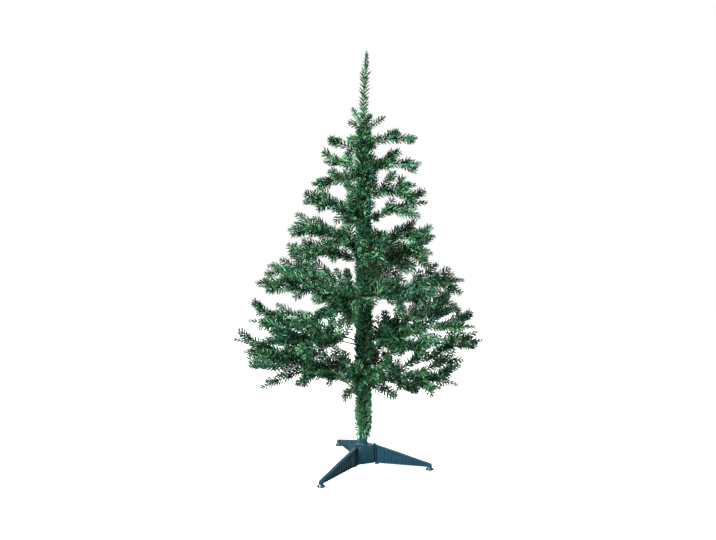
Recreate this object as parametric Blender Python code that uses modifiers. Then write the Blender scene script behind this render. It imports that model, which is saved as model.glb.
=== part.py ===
"""An artificial Christmas tree, 1.20 m tall, in its plastic stand.

A steel pole stands in a hub with three legs. Wire boughs leave the pole in tiers, and each
carries one mass of foliage: a stem of needle garland with twigs of the same garland.
Metres, +Z up. The origin is on the floor, on the axis of the pole.
"""

import math
import random
from collections import namedtuple

import bmesh
import bpy
import numpy as np
from mathutils import Matrix, Vector

# Driving sizes
TREE_HEIGHT = 1.200
GAP = 0.0003
MERGE = 0.0001
CAP_WELD = 0.00001

# Stand
LEG_HEADINGS = (-127.3, -7.3, 112.7)
HUB_BOTTOM = 0.015
HUB_TOP = 0.070
HUB_WALL = 0.0025
HUB_FACE = 0.0305
HUB_FACE_WIDTH = 0.012
COLLAR_RADIUS = 0.0130
COLLAR_TOP = 0.102
SOCKET_FLOOR = 0.0165
SOCKET_FLOOR_DEPTH = 0.003
FOOT_CENTRE = 0.196
FOOT_RADIUS = 0.0125
FOOT_FLANGE = 0.002
FOOT_SIDES = 14
FOOT_NECK_RADIUS = 0.0052
LEG_WEB = 0.003
LEG_RIM = 0.003
LEG_WIDTH = 0.011
LEG_TIP_TOP = 0.0175
LEG_TIP_BOTTOM = 0.009
LEG_POST_DEPTH = 0.008
LEG_POST_TOP = 0.077
LEG_POST_BOTTOM = 0.013
CLIP_REACH = 0.046
CLIP_BOTTOM = 0.0105

# Pole and the garland wound on it
POLE_RADIUS = 0.0105
TOP_POLE_RADIUS = 0.0080
POLE_STEP = 0.548
POLE_TOP = 0.980
POLE_SIDES = 12
WRAP_BOTTOM = 0.104
WRAP_TOP = 0.222
WRAP_BORE = 0.0119
WRAP_CORE = 0.0145
WRAP_REACH = 0.0195
WRAP_SIDES = 8
WRAP_STEP = 0.012
WRAP_LEAN = 0.006

# Needle garland
WIRE_RADIUS = 0.0016
LIMB_ROOT_RADIUS = 0.0023
NEEDLE_REACH = 0.0165
TIP_REACH = 0.0060
CORE_RADIUS = 0.0055
NEEDLE_LEAN = 0.75
RING_STEP = 0.0235
RING_TWIST = 0.35
SPREAD = 0.40
STEM_NECK = 0.004
FULL_TO = 0.70

# Leader
LEADER_LEAN = 0.010
LEADER_TIP_REACH = 0.0045

# Twigs
CLEARANCE = 0.0012
POLE_KEEP = 0.017
FIRST_TWIG = 0.26
LAST_TWIG = 0.86
TWIG_FAN = (75, -75, 35, -105, 105, -35)
SHRINKS = (1, 0.82, 0.66)
TURNS = (0, 25, -25, 50, -50, 80, -80, 180)

Tier = namedtuple("Tier", "name seed bare limbs twigs twig_length arch boughs")
Bough = namedtuple("Bough", "side root heading reach rise")

# A bough leaves the pole at the height root, runs out to reach and up by rise.
TIERS = (
    Tier("low", 12, 0.070, True, 7, 0.140, 0.055, (
        Bough("left", 0.235, 190, 0.374, 0.170),
        Bough("front_left", 0.248, 214, 0.370, 0.115),
        Bough("front", 0.252, 272, 0.325, 0.100),
        Bough("front_right", 0.256, 331, 0.300, 0.038),
        Bough("right", 0.240, 20, 0.384, 0.112),
        Bough("back", 0.246, 76, 0.338, 0.090),
        Bough("back_left", 0.238, 134, 0.345, 0.090),
    )),
    Tier("second", 3, 0.065, True, 7, 0.130, 0.055, (
        Bough("left", 0.380, 176, 0.334, 0.055),
        Bough("front_left", 0.370, 218, 0.335, 0.060),
        Bough("front_right", 0.388, 298, 0.350, 0.040),
        Bough("right", 0.382, 357, 0.322, 0.045),
        Bough("back_right", 0.378, 36, 0.368, 0.050),
        Bough("back_left", 0.390, 108, 0.335, 0.070),
    )),
    Tier("middle", 24, 0.020, False, 6, 0.120, 0.07, (
        Bough("left", 0.500, 188, 0.306, 0.062),
        Bough("front", 0.495, 250, 0.295, 0.020),
        Bough("front_right", 0.512, 312, 0.290, 0.020),
        Bough("right", 0.498, 8, 0.294, 0.055),
        Bough("back_right", 0.500, 74, 0.290, 0.060),
        Bough("back_left", 0.508, 148, 0.342, 0.060),
    )),
    Tier("upper", 24, 0.018, False, 5, 0.100, 0.08, (
        Bough("left", 0.660, 178, 0.214, 0.045),
        Bough("front_left", 0.612, 204, 0.222, 0.050),
        Bough("front", 0.668, 288, 0.205, 0.010),
        Bough("front_right", 0.602, 330, 0.220, 0.055),
        Bough("right", 0.655, 6, 0.206, 0.028),
        Bough("back_right", 0.585, 44, 0.275, 0.030),
        Bough("back_left", 0.620, 112, 0.235, 0.040),
    )),
    Tier("high", 1, 0.016, False, 4, 0.085, 0.07, (
        Bough("left", 0.757, 194, 0.172, 0.032),
        Bough("front", 0.745, 250, 0.165, 0.010),
        Bough("front_right", 0.790, 335, 0.160, 0.050),
        Bough("right", 0.730, 20, 0.196, 0.045),
        Bough("back_left", 0.760, 105, 0.170, 0.030),
    )),
    Tier("crown", 5, 0.014, False, 3, 0.070, 0.04, (
        Bough("left", 0.845, 192, 0.146, -0.006),
        Bough("front", 0.862, 268, 0.125, 0.000),
        Bough("right", 0.882, 353, 0.162, 0.012),
        Bough("back", 0.865, 60, 0.135, 0.020),
        Bough("back_left", 0.890, 152, 0.128, 0.004),
    )),
    Tier("top", 12, 0.012, False, 2, 0.055, 0.03, (
        Bough("left", 0.926, 190, 0.099, 0.036),
        Bough("front", 0.944, 275, 0.095, 0.010),
        Bough("right", 0.952, 352, 0.150, 0.013),
        Bough("back", 0.938, 100, 0.100, 0.030),
    )),
)

# The leader's own twigs leave its axis just above the pole.
LEADER_TWIGS = (
    Bough("back", 0.994, 110, 0.092, 0.050),
    Bough("back_right", 0.986, 45, 0.085, 0.034),
    Bough("front", 0.990, 285, 0.080, 0.044),
    Bough("left", 0.990, 215, 0.050, 0.022),
)


# Paths of the stems and twigs

def unit(vector):
    return vector / np.linalg.norm(vector)


def pole_radius(height):
    return POLE_RADIUS if height < POLE_STEP else TOP_POLE_RADIUS


def stem_path(bough, arch, start, steps=10):
    """Points of a bough's stem, which leaves the pole level and ends at its tip."""
    heading = math.radians(bough.heading)
    points = [(start * math.cos(heading), start * math.sin(heading), bough.root)]
    for step in range(steps):
        t = step / (steps - 1)
        out = start + STEM_NECK + (bough.reach - start - STEM_NECK) * t
        height = bough.root + bough.rise * t + 4 * arch * bough.reach * t * (1 - t)
        points.append((out * math.cos(heading), out * math.sin(heading), height))
    return np.array(points)


def leader_path(steps=12):
    """The leader's stem, straight up from the pole and leaning a little at its tip."""
    points = []
    for step in range(steps + 1):
        t = step / steps
        points.append((LEADER_LEAN * t * t, 0, POLE_TOP + GAP + (TREE_HEIGHT - POLE_TOP - GAP) * t))
    return np.array(points)


def lengths(path):
    """The length of a path up to each of its points."""
    steps = np.linalg.norm(np.diff(path, axis=0), axis=1)
    return np.concatenate(([0], np.cumsum(steps)))


def at_length(path, distance):
    """The point at a distance along a path, and the direction there."""
    done = lengths(path)
    i = min(max(int(np.searchsorted(done, distance)) - 1, 0), len(path) - 2)
    direction = unit(path[i + 1] - path[i])
    return path[i] + (distance - done[i]) * direction, direction


def twig_path(stem, share, roll, lean, length, droop, steps=4):
    """A twig that leaves a stem at a share of its length, rolled about it from straight up."""
    root, forward = at_length(stem, share * lengths(stem)[-1])
    forward = unit(forward * (1, 1, 0.25))
    side = unit(np.cross(forward, (0, 0, 1)))
    up = np.cross(side, forward)
    away = math.cos(roll) * up + math.sin(roll) * side
    direction = math.cos(lean) * forward + math.sin(lean) * away
    points = [root]
    for _ in range(steps):
        points.append(points[-1] + direction * length / steps)
        direction = unit(direction + 0.10 * forward - (0, 0, droop / steps))
    return np.array(points)


def needle_reach(distance, total, bare=0.0, spread=None):
    """How far the needles stand out at a distance along a spray of a total length."""
    if distance <= bare:
        return WIRE_RADIUS
    fall = max(0.0, (distance / total - FULL_TO) / (1 - FULL_TO))
    reach = NEEDLE_REACH + (TIP_REACH - NEEDLE_REACH) * fall
    return min(reach, spread * (distance + 0.008)) if spread else reach


# Rooms that the sprays keep to

def capsules(path, bare=0.0, spread=None, step=0.02):
    """A path as rows of start, end and radius."""
    total = lengths(path)[-1]
    count = max(2, round(total / step))
    cuts = np.linspace(0, total, count + 1)
    points = [at_length(path, cut)[0] for cut in cuts]
    rows = []
    for i in range(count):
        radius = needle_reach((cuts[i] + cuts[i + 1]) / 2, total, bare, spread)
        rows.append((*points[i], *points[i + 1], radius))
    return np.array(rows)


def room(rows, others):
    """The least space between two sets of capsules, less than nothing where they meet."""
    points = np.concatenate((rows[:, 0:3], (rows[:, 0:3] + rows[:, 3:6]) / 2, rows[:, 3:6]))
    radii = np.tile(rows[:, 6], 3)
    run = others[:, 3:6] - others[:, 0:3]
    away = points[:, None] - others[None, :, 0:3]
    share = np.clip((away * run).sum(-1) / (run * run).sum(-1), 0, 1)
    distance = np.linalg.norm(away - share[..., None] * run, axis=-1)
    return (distance - radii[:, None] - others[:, 6]).min()


def fixed_rooms():
    """The rooms of the pole with its garland, and of the leader with its twigs."""
    pole = np.array([(0, 0, WRAP_BOTTOM, 0, 0, POLE_TOP, POLE_KEEP)])
    sprays = [capsules(leader_path())] + [capsules(leader_twig_path(twig)) for twig in LEADER_TWIGS]
    return np.concatenate([pole] + sprays)


def leader_twig_path(twig):
    return stem_path(twig, 0.0, 0.0)


def grow_twigs(tier, stems, twigs, rooms):
    """Gives each bough of a tier its twigs in turn. A twig with no room is turned, cut short or left out."""
    for i in range(tier.twigs):
        for place, bough in enumerate(tier.boughs):
            name = f"{tier.name}_{bough.side}"
            rng = random.Random(f"{tier.seed} {name} {i}")
            step = (i + rng.uniform(-0.3, 0.3)) / max(tier.twigs - 1, 1)
            share = min(max(FIRST_TWIG + (LAST_TWIG - FIRST_TWIG) * step, FIRST_TWIG), 0.88)
            roll = TWIG_FAN[(i + place) % len(TWIG_FAN)] + rng.uniform(-18, 18)
            lean = math.radians(rng.uniform(30, 48))
            length = tier.twig_length * rng.uniform(0.88, 1.12) * (1.1 - 0.32 * share)
            droop = rng.uniform(-0.25, 0.25)
            others = np.concatenate([rows for owner, rows in rooms.items() if owner != name])
            mine = [capsules(twig)[1:] for twig in twigs[name]]
            tries = [(shrink, turn) for shrink in SHRINKS for turn in TURNS]
            for shrink, turn in tries:
                path = twig_path(stems[name], share, math.radians(roll + turn), lean, length * shrink, droop)
                if np.hypot(path[-1][0], path[-1][1]) > bough.reach * 0.99:
                    continue
                rows = capsules(path)
                if room(rows, others) <= CLEARANCE:
                    continue
                if mine and room(rows[1:], np.concatenate(mine)) <= -0.006:
                    continue
                twigs[name].append(path)
                rooms[name] = np.concatenate((rooms[name], rows))
                break


def plan_boughs():
    """The stem and the twigs of every bough, by name."""
    stems, twigs, rooms = {}, {}, {"fixed": fixed_rooms()}
    for tier in TIERS:
        for bough in tier.boughs:
            name = f"{tier.name}_{bough.side}"
            stems[name] = stem_path(bough, tier.arch, pole_radius(bough.root) + GAP)
            twigs[name] = []
            rooms[name] = capsules(stems[name], tier.bare, SPREAD)
    for tier in TIERS:
        grow_twigs(tier, stems, twigs, rooms)
    return stems, twigs


# Objects and materials

def clear_scene():
    for thing in list(bpy.data.objects):
        bpy.data.objects.remove(thing, do_unlink=True)


def make_collection(name, hidden=False):
    collection = bpy.data.collections.new(name)
    collection.hide_render = hidden
    bpy.context.scene.collection.children.link(collection)
    return collection


def make_material(name, color, roughness, metallic=0.0):
    material = bpy.data.materials.new(name)
    material.use_nodes = True
    shader = material.node_tree.nodes["Principled BSDF"]
    shader.inputs["Base Color"].default_value = (*color, 1.0)
    shader.inputs["Roughness"].default_value = roughness
    shader.inputs["Metallic"].default_value = metallic
    return material


def make_object(name, mesh, collection, material=None):
    thing = bpy.data.objects.new(name, mesh)
    collection.objects.link(thing)
    if material:
        mesh.materials.clear()
        mesh.materials.append(material)
    return thing


def mesh_from(name, bm):
    mesh = bpy.data.meshes.new(name)
    bm.to_mesh(mesh)
    bm.free()
    return mesh


def evaluated_mesh(thing):
    """The mesh that an object's modifiers or curve settings make."""
    bpy.context.view_layer.update()
    graph = bpy.context.evaluated_depsgraph_get()
    return bpy.data.meshes.new_from_object(thing.evaluated_get(graph))


def weld_caps(mesh):
    """Joins a curve's loose caps to its sides."""
    bm = bmesh.new()
    bm.from_mesh(mesh)
    bmesh.ops.remove_doubles(bm, verts=bm.verts, dist=CAP_WELD)
    bm.to_mesh(mesh)
    bm.free()


def apply_modifiers(thing):
    """Puts the evaluated mesh in place of the object's own and drops its modifiers."""
    material = thing.data.materials[0] if thing.data.materials else None
    mesh = evaluated_mesh(thing)
    mesh.materials.clear()
    if material:
        mesh.materials.append(material)
    thing.modifiers.clear()
    thing.data = mesh


def add_boolean(thing, operation, collection):
    modifier = thing.modifiers.new(operation.title(), "BOOLEAN")
    modifier.operation = operation
    modifier.operand_type = "COLLECTION"
    modifier.collection = collection
    modifier.solver = "EXACT"


def empty_collection(collection):
    for thing in list(collection.objects):
        bpy.data.objects.remove(thing, do_unlink=True)
    bpy.data.collections.remove(collection)


def join_with(thing, pieces, operation="UNION"):
    """One Boolean of an object with a collection of pieces, which are then removed."""
    add_boolean(thing, operation, pieces)
    apply_modifiers(thing)
    empty_collection(pieces)


def flat_outline(name, points, thickness, collection):
    """A closed outline in the curve's own XY plane, as a slab centred on that plane."""
    curve = bpy.data.curves.new(name, "CURVE")
    curve.dimensions = "2D"
    curve.fill_mode = "BOTH"
    curve.extrude = thickness / 2
    spline = curve.splines.new("POLY")
    spline.points.add(len(points) - 1)
    for point, (x, y) in zip(spline.points, points):
        point.co = (x, y, 0, 1)
    spline.use_cyclic_u = True
    outline = bpy.data.objects.new(name, curve)
    collection.objects.link(outline)
    return outline


def slab(name, points, thickness, collection, matrix):
    """A flat outline made a mesh, moved by a matrix."""
    outline = flat_outline(name, points, thickness, collection)
    mesh = evaluated_mesh(outline)
    weld_caps(mesh)
    bpy.data.objects.remove(outline, do_unlink=True)
    mesh.transform(matrix)
    return make_object(name, mesh, collection)


def cylinder(name, radius, bottom, top, collection, sides=18):
    bm = bmesh.new()
    middle = Matrix.Translation((0, 0, (bottom + top) / 2))
    bmesh.ops.create_cone(
        bm, cap_ends=True, segments=sides, radius1=radius, radius2=radius, depth=top - bottom, matrix=middle
    )
    return make_object(name, mesh_from(name, bm), collection)


def block(name, low, high, collection):
    """A box between two corners."""
    bm = bmesh.new()
    size = [b - a for a, b in zip(low, high)]
    middle = [(a + b) / 2 for a, b in zip(low, high)]
    bmesh.ops.create_cube(bm, size=1, matrix=Matrix.Translation(middle) @ Matrix.Diagonal((*size, 1)))
    return make_object(name, mesh_from(name, bm), collection)


def turned(name, profile, collection, steps):
    """A profile of radius and height, from top to bottom, turned about the Z axis."""
    mesh = bpy.data.meshes.new(name)
    edges = [(i, i + 1) for i in range(len(profile) - 1)]
    mesh.from_pydata([(radius, 0, height) for radius, height in profile], edges, [])
    thing = make_object(name, mesh, collection)
    screw = thing.modifiers.new("Screw", "SCREW")
    screw.steps = steps
    screw.render_steps = steps
    screw.use_merge_vertices = True
    screw.merge_threshold = MERGE
    return thing


# Stand

def hub_outline(inset=0.0):
    """Six corners: a short side before each leg, and a long panel between two legs."""
    half = HUB_FACE_WIDTH / 2
    points = []
    for heading in LEG_HEADINGS:
        turn = math.radians(heading)
        for side in (-half, half):
            x = HUB_FACE * math.cos(turn) - side * math.sin(turn)
            y = HUB_FACE * math.sin(turn) + side * math.cos(turn)
            shrink = 1 - inset / HUB_FACE
            points.append((x * shrink, y * shrink))
    return points


def make_hub(collection, material):
    """A hollow prism, open below, with a socket tube that the pole stands in."""
    middle = (HUB_BOTTOM + HUB_TOP) / 2
    hub = slab("stand_hub", hub_outline(), HUB_TOP - HUB_BOTTOM, collection, Matrix.Translation((0, 0, middle)))
    hub.data.materials.append(material)
    hollow = make_collection("hub hollow", hidden=True)
    height = HUB_TOP - HUB_WALL - HUB_BOTTOM + 0.002
    centre = HUB_BOTTOM - 0.002 + height / 2
    slab("hollow", hub_outline(HUB_WALL), height, hollow, Matrix.Translation((0, 0, centre)))
    join_with(hub, hollow, "DIFFERENCE")
    socket = make_collection("hub socket", hidden=True)
    cylinder("socket", COLLAR_RADIUS, SOCKET_FLOOR, COLLAR_TOP, socket)
    join_with(hub, socket)
    bore = make_collection("hub bore", hidden=True)
    floor = SOCKET_FLOOR + SOCKET_FLOOR_DEPTH
    cylinder("bore", POLE_RADIUS + GAP, floor, COLLAR_TOP + 0.002, bore, POLE_SIDES)
    join_with(hub, bore, "DIFFERENCE")
    hub.data.set_sharp_from_angle(angle=math.radians(40))
    return hub


def leg_outline(inset=0.0):
    """The side of a leg as distance and height: deep at the hub and low at the foot."""
    root = HUB_FACE + GAP + LEG_POST_DEPTH / 2
    tip = FOOT_CENTRE + FOOT_NECK_RADIUS
    return [
        (root + inset, HUB_BOTTOM + inset),
        (tip - inset, LEG_TIP_BOTTOM + inset),
        (tip - inset, LEG_TIP_TOP - inset),
        (root + inset, HUB_TOP - inset),
    ]


def leg_window():
    """The part of a leg's side between its rims, where only the web is left."""
    root, bottom = leg_outline(LEG_RIM)[0]
    low_tip, high_tip = leg_outline()[1:3]
    slope_top = (HUB_TOP - high_tip[1]) / (high_tip[0] - root + LEG_RIM)
    tip = FOOT_CENTRE - 2 * FOOT_NECK_RADIUS
    return [
        (root, bottom),
        (tip, low_tip[1] + LEG_RIM),
        (tip, high_tip[1] - LEG_RIM + slope_top * (high_tip[0] - tip)),
        (root, HUB_TOP - LEG_RIM),
    ]


def make_leg_mesh(collection):
    """A leg along +X: a web with a rim round each face, a post at the hub, and a foot."""
    stand_up = Matrix.Rotation(math.radians(90), 4, "X")
    leg = slab("leg", leg_outline(), LEG_WIDTH, collection, stand_up)
    windows = make_collection("leg windows", hidden=True)
    depth = (LEG_WIDTH - LEG_WEB) / 2
    for side in (-1, 1):
        shift = Matrix.Translation((0, side * (LEG_WEB + depth + 0.001) / 2, 0))
        slab("window", leg_window(), depth + 0.001, windows, shift @ stand_up)
    join_with(leg, windows, "DIFFERENCE")
    fittings = make_collection("leg fittings", hidden=True)
    half = HUB_FACE_WIDTH / 2
    start = HUB_FACE + GAP
    block("post", (start, -half, LEG_POST_BOTTOM), (start + LEG_POST_DEPTH, half, LEG_POST_TOP), fittings)
    clip = (CLIP_REACH, half / 2, HUB_BOTTOM + 0.002)
    block("clip", (start + LEG_POST_DEPTH / 2, -half / 2, CLIP_BOTTOM), clip, fittings)
    profile = [
        (0, LEG_TIP_TOP - 0.002),
        (FOOT_NECK_RADIUS, LEG_TIP_TOP - 0.002),
        (FOOT_NECK_RADIUS, LEG_TIP_BOTTOM - 0.001),
        (FOOT_RADIUS * 0.72, FOOT_FLANGE * 2),
        (FOOT_RADIUS, FOOT_FLANGE),
        (FOOT_RADIUS, 0),
        (0, 0),
    ]
    foot = turned("foot", profile, fittings, FOOT_SIDES)
    apply_modifiers(foot)
    foot.data.transform(Matrix.Translation((FOOT_CENTRE, 0, 0)))
    join_with(leg, fittings)
    leg.data.set_sharp_from_angle(angle=math.radians(40))
    return leg


def make_legs(collection, material):
    pattern = make_leg_mesh(collection)
    mesh = pattern.data
    mesh.materials.append(material)
    bpy.data.objects.remove(pattern, do_unlink=True)
    for number, heading in enumerate(LEG_HEADINGS, start=1):
        leg = bpy.data.objects.new(f"stand_leg_{number}", mesh)
        leg.rotation_euler.z = math.radians(heading)
        collection.objects.link(leg)


# Pole and its garland

def make_pole(collection, material):
    bottom = SOCKET_FLOOR + SOCKET_FLOOR_DEPTH + GAP
    profile = [
        (0, POLE_TOP),
        (TOP_POLE_RADIUS, POLE_TOP),
        (TOP_POLE_RADIUS, POLE_STEP + 0.004),
        (POLE_RADIUS, POLE_STEP),
        (POLE_RADIUS, bottom),
        (0, bottom),
    ]
    pole = turned("trunk_pole", profile, collection, POLE_SIDES)
    pole.data.materials.append(material)
    pole.data.shade_smooth()
    pole.data.set_sharp_from_angle(angle=math.radians(40))


def ring(bm, centre, side, up, radii, turn):
    """A ring of vertices round a centre, each at its own radius."""
    verts = []
    for j, radius in enumerate(radii):
        angle = turn + 2 * math.pi * j / len(radii)
        point = centre + radius * (math.cos(angle) * side + math.sin(angle) * up)
        verts.append(bm.verts.new(point))
    return verts


def skin(bm, low, high, spiked):
    """Two triangles for each side between two rings; the edge across joins the verts that aren't spikes."""
    count = len(low)
    for j in range(count):
        a, b = low[j], low[(j + 1) % count]
        c, d = high[(j + 1) % count], high[j]
        faces = ((a, b, d), (b, c, d)) if (spiked + j) % 2 == 0 else ((a, b, c), (a, c, d))
        for face in faces:
            bm.faces.new(face)


def make_wrap(collection, material):
    """The garland wound on the foot of the pole: a sleeve with a toothed outside."""
    bm = bmesh.new()
    x_axis, y_axis = np.array((1.0, 0, 0)), np.array((0, 1.0, 0))
    count = round((WRAP_TOP - WRAP_BOTTOM) / WRAP_STEP)
    outer = []
    for k in range(count + 1):
        height = WRAP_BOTTOM + (WRAP_TOP - WRAP_BOTTOM) * k / count
        toothed = 0 < k < count
        radii = [WRAP_REACH if toothed and (k + j) % 2 == 0 else WRAP_CORE for j in range(WRAP_SIDES)]
        verts = ring(bm, np.array((0, 0, height)), x_axis, y_axis, radii, 0)
        for vert, radius in zip(verts, radii):
            vert.co.z += WRAP_LEAN if radius == WRAP_REACH else 0
        outer.append(verts)
    for k in range(count):
        skin(bm, outer[k], outer[k + 1], k)
    inner = []
    for height in (WRAP_BOTTOM, WRAP_TOP):
        inner.append(ring(bm, np.array((0, 0, height)), x_axis, y_axis, [WRAP_BORE] * WRAP_SIDES, 0))
    for j in range(WRAP_SIDES):
        n = (j + 1) % WRAP_SIDES
        bm.faces.new((inner[0][n], inner[0][j], inner[1][j], inner[1][n]))
        bm.faces.new((inner[0][j], inner[0][n], outer[0][n], outer[0][j]))
        bm.faces.new((inner[1][n], inner[1][j], outer[-1][j], outer[-1][n]))
    make_object("trunk_wrap", mesh_from("trunk_wrap", bm), collection, material)


# Boughs and foliage

def make_limb(name, path, length, collection, material):
    """The bare wire of a bough, from the pole to its foliage, thinner as it goes out."""
    curve = bpy.data.curves.new(name, "CURVE")
    curve.dimensions = "3D"
    curve.bevel_depth = LIMB_ROOT_RADIUS
    curve.bevel_resolution = 1
    curve.use_fill_caps = True
    cuts = (0, STEM_NECK, length * 0.35, length * 0.7, length)
    spline = curve.splines.new("POLY")
    spline.points.add(len(cuts) - 1)
    for point, cut in zip(spline.points, cuts):
        point.co = (*at_length(path, cut)[0], 1)
        point.radius = 1 + (WIRE_RADIUS / LIMB_ROOT_RADIUS - 1) * cut / length
    curve.materials.append(material)
    collection.objects.link(bpy.data.objects.new(name, curve))


def frame_at(direction):
    """Two directions across a spray, the second as near to up as it can be."""
    across = (0, 0, 1) if abs(direction[2]) < 0.9 else (0, 1, 0)
    side = unit(np.cross(direction, across))
    return side, np.cross(side, direction)


def make_spray(name, path, collection, start=0.0, bare=0.0, spread=None, taper=None):
    """A slim core with needles that stand out of it, two on each ring, from a start along the path."""
    total = lengths(path)[-1]
    first = max(bare, start)
    count = max(2, round((total - first) / RING_STEP))
    cuts = [start] + ([bare] if bare > start else [])
    plain = len(cuts)
    cuts += [first + (total - first) * (k + 1) / (count + 0.5) for k in range(count)]
    bm = bmesh.new()
    rings = []
    for k, cut in enumerate(cuts):
        centre, direction = at_length(path, cut)
        side, up = frame_at(direction)
        reach = taper(cut / total) if taper else needle_reach(cut, total, bare, spread)
        core = min(CORE_RADIUS, 0.4 * reach)
        if k < plain:
            radii = [WIRE_RADIUS] * 4
        else:
            radii = [reach if (k + j) % 2 == 0 else core for j in range(4)]
        verts = ring(bm, centre, side, up, radii, RING_TWIST * (k - plain + 1) * (k >= plain))
        for vert, radius in zip(verts, radii):
            if k >= plain and radius == reach:
                vert.co += Vector(direction * reach * NEEDLE_LEAN)
        rings.append(verts)
    for k in range(len(rings) - 1):
        skin(bm, rings[k], rings[k + 1], k)
    tip = bm.verts.new(path[-1])
    for j in range(4):
        bm.faces.new((rings[-1][j], rings[-1][(j + 1) % 4], tip))
    bm.faces.new(list(reversed(rings[0])))
    bmesh.ops.triangulate(bm, faces=[face for face in bm.faces if len(face.verts) > 3])
    bmesh.ops.recalc_face_normals(bm, faces=bm.faces)
    return make_object(name, mesh_from(name, bm), collection)


def make_mass(name, stem, twigs, tier, collection, material):
    """The foliage of one bough: its stem of garland, with the twigs fused on."""
    start = tier.bare + GAP if tier.limbs else 0.0
    mass = make_spray(f"foliage_{name}", stem, collection, start, tier.bare, SPREAD)
    mass.data.materials.append(material)
    pieces = make_collection(f"twigs {name}", hidden=True)
    for i, twig in enumerate(twigs):
        make_spray(f"twig {i}", twig, pieces)
    join_with(mass, pieces)


def make_leader(collection, material):
    """The top spray, which narrows all the way to its tip, with its own short twigs."""
    def taper(share):
        return NEEDLE_REACH + (LEADER_TIP_REACH - NEEDLE_REACH) * share

    leader = make_spray("foliage_leader", leader_path(), collection, taper=taper)
    leader.data.materials.append(material)
    pieces = make_collection("twigs leader", hidden=True)
    for i, twig in enumerate(LEADER_TWIGS):
        make_spray(f"twig {i}", leader_twig_path(twig), pieces, bare=0.006, spread=SPREAD)
    join_with(leader, pieces)


def main():
    clear_scene()
    tree = make_collection("christmas_tree")
    stand_green = make_material("stand plastic", (0.032, 0.105, 0.150), 0.38)
    steel = make_material("pole paint", (0.035, 0.105, 0.055), 0.45)
    wire = make_material("bough wire", (0.030, 0.080, 0.045), 0.55)
    needles = make_material("needle foil", (0.035, 0.115, 0.055), 0.50)
    make_hub(tree, stand_green)
    make_legs(tree, stand_green)
    make_pole(tree, steel)
    make_wrap(tree, needles)
    stems, twigs = plan_boughs()
    for tier in TIERS:
        for bough in tier.boughs:
            name = f"{tier.name}_{bough.side}"
            if tier.limbs:
                make_limb(f"bough_{name}", stems[name], tier.bare, tree, wire)
            make_mass(name, stems[name], twigs[name], tier, tree, needles)
    make_leader(tree, needles)


main()
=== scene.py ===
"""The looks of an artificial Christmas tree, 1.20 m tall, in its plastic stand.

Boughs, twigs and finer twigs of needle garland grow by the source's own rule, written again here.
The wound pole and the moulded stand are modelled again with their fine relief.
Metres, +Z up. The origin is on the floor, on the axis of the pole.
"""

import math
import random
from collections import namedtuple

import bmesh
import bpy
import numpy as np
from mathutils import Matrix, Vector


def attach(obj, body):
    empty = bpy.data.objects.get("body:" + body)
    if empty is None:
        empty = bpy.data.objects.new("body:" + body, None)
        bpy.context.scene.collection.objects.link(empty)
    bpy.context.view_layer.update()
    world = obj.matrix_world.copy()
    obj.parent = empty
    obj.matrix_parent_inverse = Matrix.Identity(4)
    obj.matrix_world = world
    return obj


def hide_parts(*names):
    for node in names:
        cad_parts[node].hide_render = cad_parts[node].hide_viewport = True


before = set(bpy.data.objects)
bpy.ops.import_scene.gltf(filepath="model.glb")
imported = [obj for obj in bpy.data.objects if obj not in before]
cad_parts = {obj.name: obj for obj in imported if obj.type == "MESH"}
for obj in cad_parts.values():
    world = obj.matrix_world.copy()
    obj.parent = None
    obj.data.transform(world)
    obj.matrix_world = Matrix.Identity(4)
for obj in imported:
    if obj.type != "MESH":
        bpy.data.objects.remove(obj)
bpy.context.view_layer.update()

# Driving sizes, as in the source
TREE_HEIGHT = 1.200
GAP = 0.0003

# Stand
LEG_HEADINGS = (-127.3, -7.3, 112.7)
HUB_BOTTOM = 0.015
HUB_TOP = 0.070
HUB_WALL = 0.0025
HUB_FACE = 0.0305
HUB_FACE_WIDTH = 0.012
COLLAR_RADIUS = 0.0130
COLLAR_TOP = 0.102
SOCKET_FLOOR = 0.0165
SOCKET_FLOOR_DEPTH = 0.003
FOOT_CENTRE = 0.196
FOOT_RADIUS = 0.0125
FOOT_FLANGE = 0.002
FOOT_NECK_RADIUS = 0.0052
LEG_WEB = 0.003
LEG_RIM = 0.003
LEG_WIDTH = 0.011
LEG_TIP_TOP = 0.0175
LEG_TIP_BOTTOM = 0.009
LEG_POST_DEPTH = 0.008
LEG_POST_TOP = 0.077
LEG_POST_BOTTOM = 0.013
CLIP_REACH = 0.046
CLIP_BOTTOM = 0.0105

# Pole and the garland wound on it
POLE_RADIUS = 0.0105
TOP_POLE_RADIUS = 0.0080
POLE_STEP = 0.548
POLE_TOP = 0.980
WRAP_BOTTOM = 0.104

# Needle garland
WIRE_RADIUS = 0.0016
LIMB_ROOT_RADIUS = 0.0023
NEEDLE_REACH = 0.0165
TIP_REACH = 0.0060
SPREAD = 0.40
STEM_NECK = 0.004
FULL_TO = 0.70

# Leader
LEADER_LEAN = 0.010
LEADER_TIP_REACH = 0.0045

# Twigs: shares of the stem's length, angles in degrees
CLEARANCE = 0.0012
OWN_OVERLAP = 0.006
POLE_KEEP = 0.017
FIRST_TWIG = 0.26
LAST_TWIG = 0.86
END_OF_TWIGS = 0.88
TWIG_FAN = (75, -75, 35, -105, 105, -35)
TWIG_LEANS = (30, 48)
SHRINKS = (1, 0.82, 0.66)
TURNS = (0, 25, -25, 50, -50, 80, -80, 180)

# Fine forms of the stand
MOULDED_EDGE = 0.0005
SHARP_ANGLE = 32
PANEL_FLUTES = 6
FLUTE_HALF = 0.0011
COLLAR_FILLET = 0.0030
COLLAR_LIP = 0.0009
POST_PLATE = 0.0014
POST_SLOT = 0.0046
POST_WEB = 0.0008
RIB_PITCH = 0.0105
RIB_WIDTH = 0.0050
RIB_STAND = 0.0016
FIRST_RIB = 2
FOOT_TOP_RADIUS = 0.0066

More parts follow.
